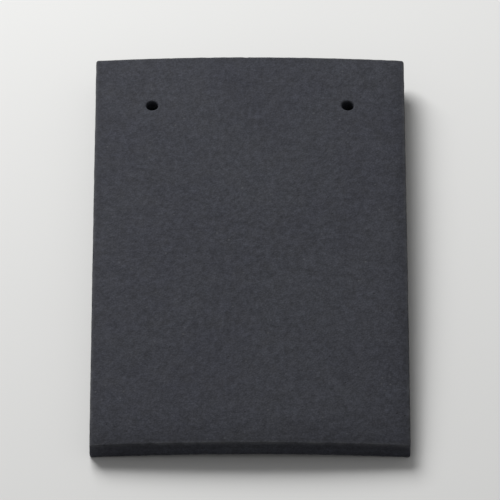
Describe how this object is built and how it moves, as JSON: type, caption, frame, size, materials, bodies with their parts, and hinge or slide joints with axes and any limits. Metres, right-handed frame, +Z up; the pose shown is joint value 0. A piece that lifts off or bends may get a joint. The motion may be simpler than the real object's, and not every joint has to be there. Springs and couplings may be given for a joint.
{
  "type": "flat roof tile",
  "caption": "Flat fired-clay roof tile, cambered along and across, with nibs under its head that hang on a batten and nail holes below them.",
  "frame": {"origin": "on the floor under the middle of the tile's bounding box, with the tile lying face up as it would unheld", "axes": "+X across the tile, +Y from its tail to its head, +Z up out of its face"},
  "size_m": [0.165, 0.2648, 0.023],
  "materials": {
    "fired_clay": "matt"
  },
  "bodies": {
    "root": {"roof_tile": "fired_clay"}
  },
  "joints": []
}
